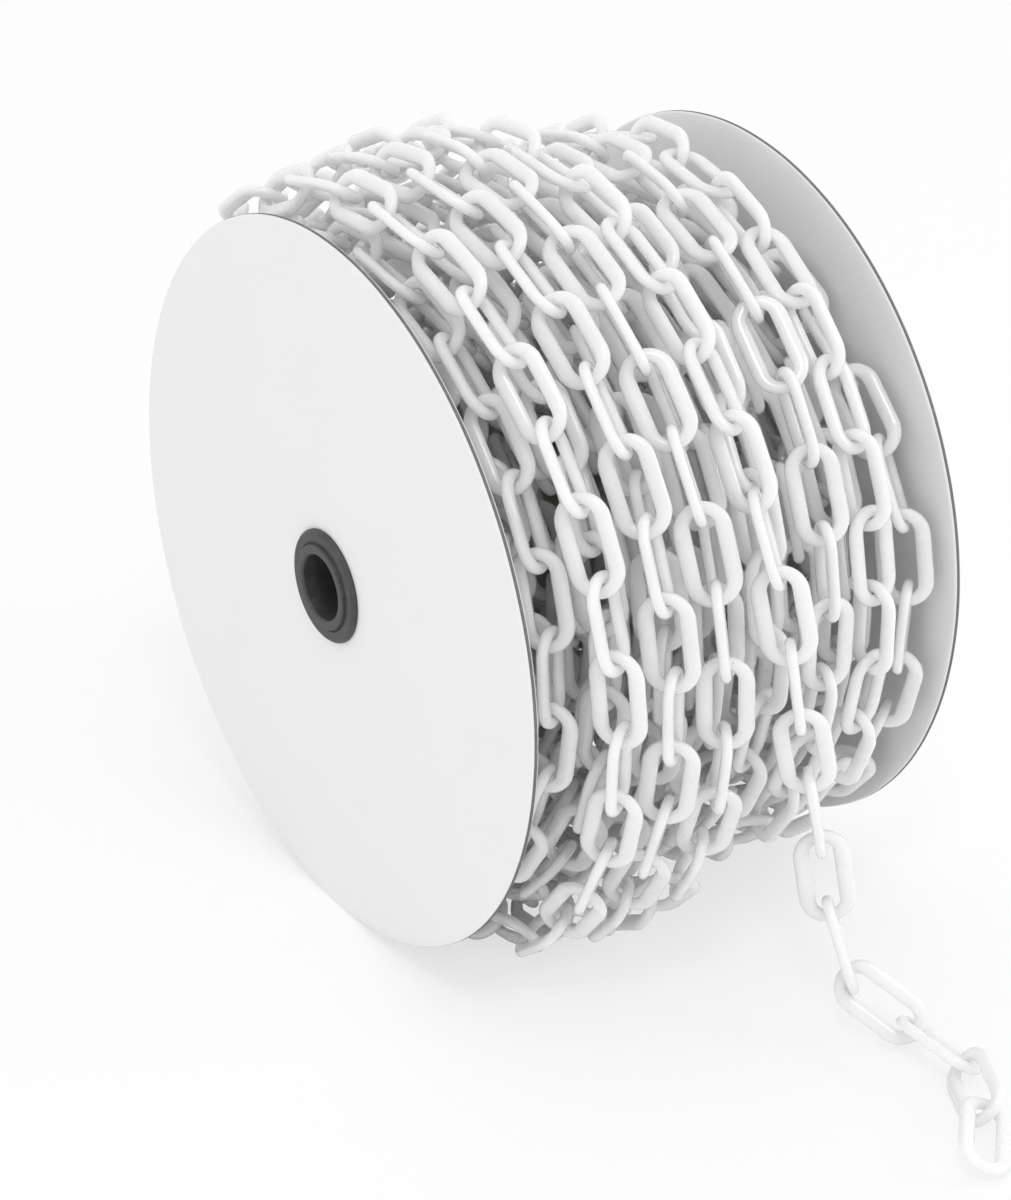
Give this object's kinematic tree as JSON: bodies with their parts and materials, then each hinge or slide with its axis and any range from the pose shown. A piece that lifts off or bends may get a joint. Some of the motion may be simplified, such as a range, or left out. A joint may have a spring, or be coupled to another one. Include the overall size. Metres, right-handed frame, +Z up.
{
  "type": "barrier chain reel",
  "caption": "Reel of white plastic barrier chain: interlinked oval links wound on a core between two round board flanges with a free end on the floor.",
  "frame": {"origin": "middle of the reel's axis, halfway between the two flanges", "axes": "+X along the reel's axis from the front flange to the back flange; +Z up, with the reel standing on both flanges' rims; the free end hangs and lies on the floor at the -Y side"},
  "size_m": [0.1932, 0.4362, 0.2988],
  "materials": {
    "facing_paper": "white coated paper, satin",
    "greyboard": "raw cut edge, matt",
    "core_paper": "wound kraft paper, matt",
    "bush_plastic": "moulded black plastic, satin",
    "chain_plastic": "moulded white plastic, smooth and slightly glossy"
  },
  "bodies": {
    "reel": {"front_flange_outer_facing": "facing_paper", "front_flange_board": "greyboard", "front_flange_inner_facing": "facing_paper", "back_flange_inner_facing": "facing_paper", "back_flange_board": "greyboard", "back_flange_outer_facing": "facing_paper", "core_tube": "core_paper", "front_bush": "bush_plastic", "back_bush": "bush_plastic", "chain_layer_1": "chain_plastic", "chain_layer_2": "chain_plastic", "chain_layer_3": "chain_plastic", "chain_layer_4": "chain_plastic", "chain_layer_5_wrap_1": "chain_plastic", "chain_layer_5_wrap_2": "chain_plastic", "chain_layer_5_wrap_3": "chain_plastic", "chain_layer_5_wrap_4": "chain_plastic", "chain_layer_5_wrap_5": "chain_plastic", "chain_layer_5_wrap_6": "chain_plastic", "chain_layer_5_wrap_7": "chain_plastic", "chain_layer_5_wrap_8": "chain_plastic", "chain_layer_6_wrap_1": "chain_plastic", "chain_layer_6_wrap_2": "chain_plastic", "chain_layer_6_wrap_3": "chain_plastic", "chain_layer_6_wrap_4": "chain_plastic"},
    "free_link_11": {"free_link_11": "chain_plastic"},
    "free_link_10": {"free_link_10": "chain_plastic"},
    "free_link_09": {"free_link_09": "chain_plastic"},
    "free_link_08": {"free_link_08": "chain_plastic"},
    "free_link_07": {"free_link_07": "chain_plastic"},
    "free_link_06": {"free_link_06": "chain_plastic"},
    "free_link_05": {"free_link_05": "chain_plastic"},
    "free_link_04": {"free_link_04": "chain_plastic"},
    "free_link_03": {"free_link_03": "chain_plastic"},
    "free_link_02": {"free_link_02": "chain_plastic"},
    "free_link_01": {"free_link_01": "chain_plastic"}
  },
  "joints": [
    {"name": "free_link_11_swing", "type": "hinge", "parent": "reel", "child": "free_link_11", "pos_m": [0.00284, -0.13536, 0.06584], "axis": [-0.4691, 0.7373, -0.4862], "range_deg": [-4, 12]},
    {"name": "free_link_10_swing", "type": "hinge", "parent": "free_link_11", "child": "free_link_10", "pos_m": [0.00252, -0.14984, 0.04142], "axis": [-0.6428, -0.6552, 0.3969], "range_deg": [-3, 45]},
    {"name": "free_link_09_swing", "type": "hinge", "parent": "free_link_10", "child": "free_link_09", "pos_m": [0.00479, -0.15608, 0.01396], "axis": [-0.8068, 0.5553, -0.2016], "range_deg": [-6, 45]},
    {"name": "free_link_08_swing", "type": "hinge", "parent": "free_link_09", "child": "free_link_08", "pos_m": [0.009, -0.15658, -0.01405], "axis": [-0.5244, -0.8502, -0.0466], "range_deg": [-5, 45]},
    {"name": "free_link_07_swing", "type": "hinge", "parent": "free_link_08", "child": "free_link_07", "pos_m": [0.0151, -0.15649, -0.04177], "axis": [-0.8106, 0.5593, -0.1736], "range_deg": [-10, 45]},
    {"name": "free_link_06_swing", "type": "hinge", "parent": "free_link_07", "child": "free_link_06", "pos_m": [0.02112, -0.15612, -0.06953], "axis": [-0.5179, -0.8466, -0.1227], "range_deg": [-30, 45]},
    {"name": "free_link_05_swing", "type": "hinge", "parent": "free_link_06", "child": "free_link_05", "pos_m": [0.02372, -0.16021, -0.09746], "axis": [-0.8438, 0.5137, -0.1554], "range_deg": [-45, 45]},
    {"name": "free_link_04_swing", "type": "hinge", "parent": "free_link_05", "child": "free_link_04", "pos_m": [0.02373, -0.17598, -0.12071], "axis": [0.5592, 0.7052, -0.436], "range_deg": [-8, 45]},
    {"name": "free_link_03_swing", "type": "hinge", "parent": "free_link_04", "child": "free_link_03", "pos_m": [0.03564, -0.19901, -0.13009], "axis": [-0.589, 0.1014, -0.8017], "range_deg": [-45, 45]},
    {"name": "free_link_02_swing", "type": "hinge", "parent": "free_link_03", "child": "free_link_02", "pos_m": [0.03878, -0.22683, -0.13173], "axis": [-0.8115, -0.1623, 0.5614], "range_deg": [-45, 45]},
    {"name": "free_link_01_swing", "type": "hinge", "parent": "free_link_02", "child": "free_link_01", "pos_m": [0.02667, -0.25196, -0.1315], "axis": [-0.6162, 0.2607, -0.7431], "range_deg": [-45, 45]}
  ]
}
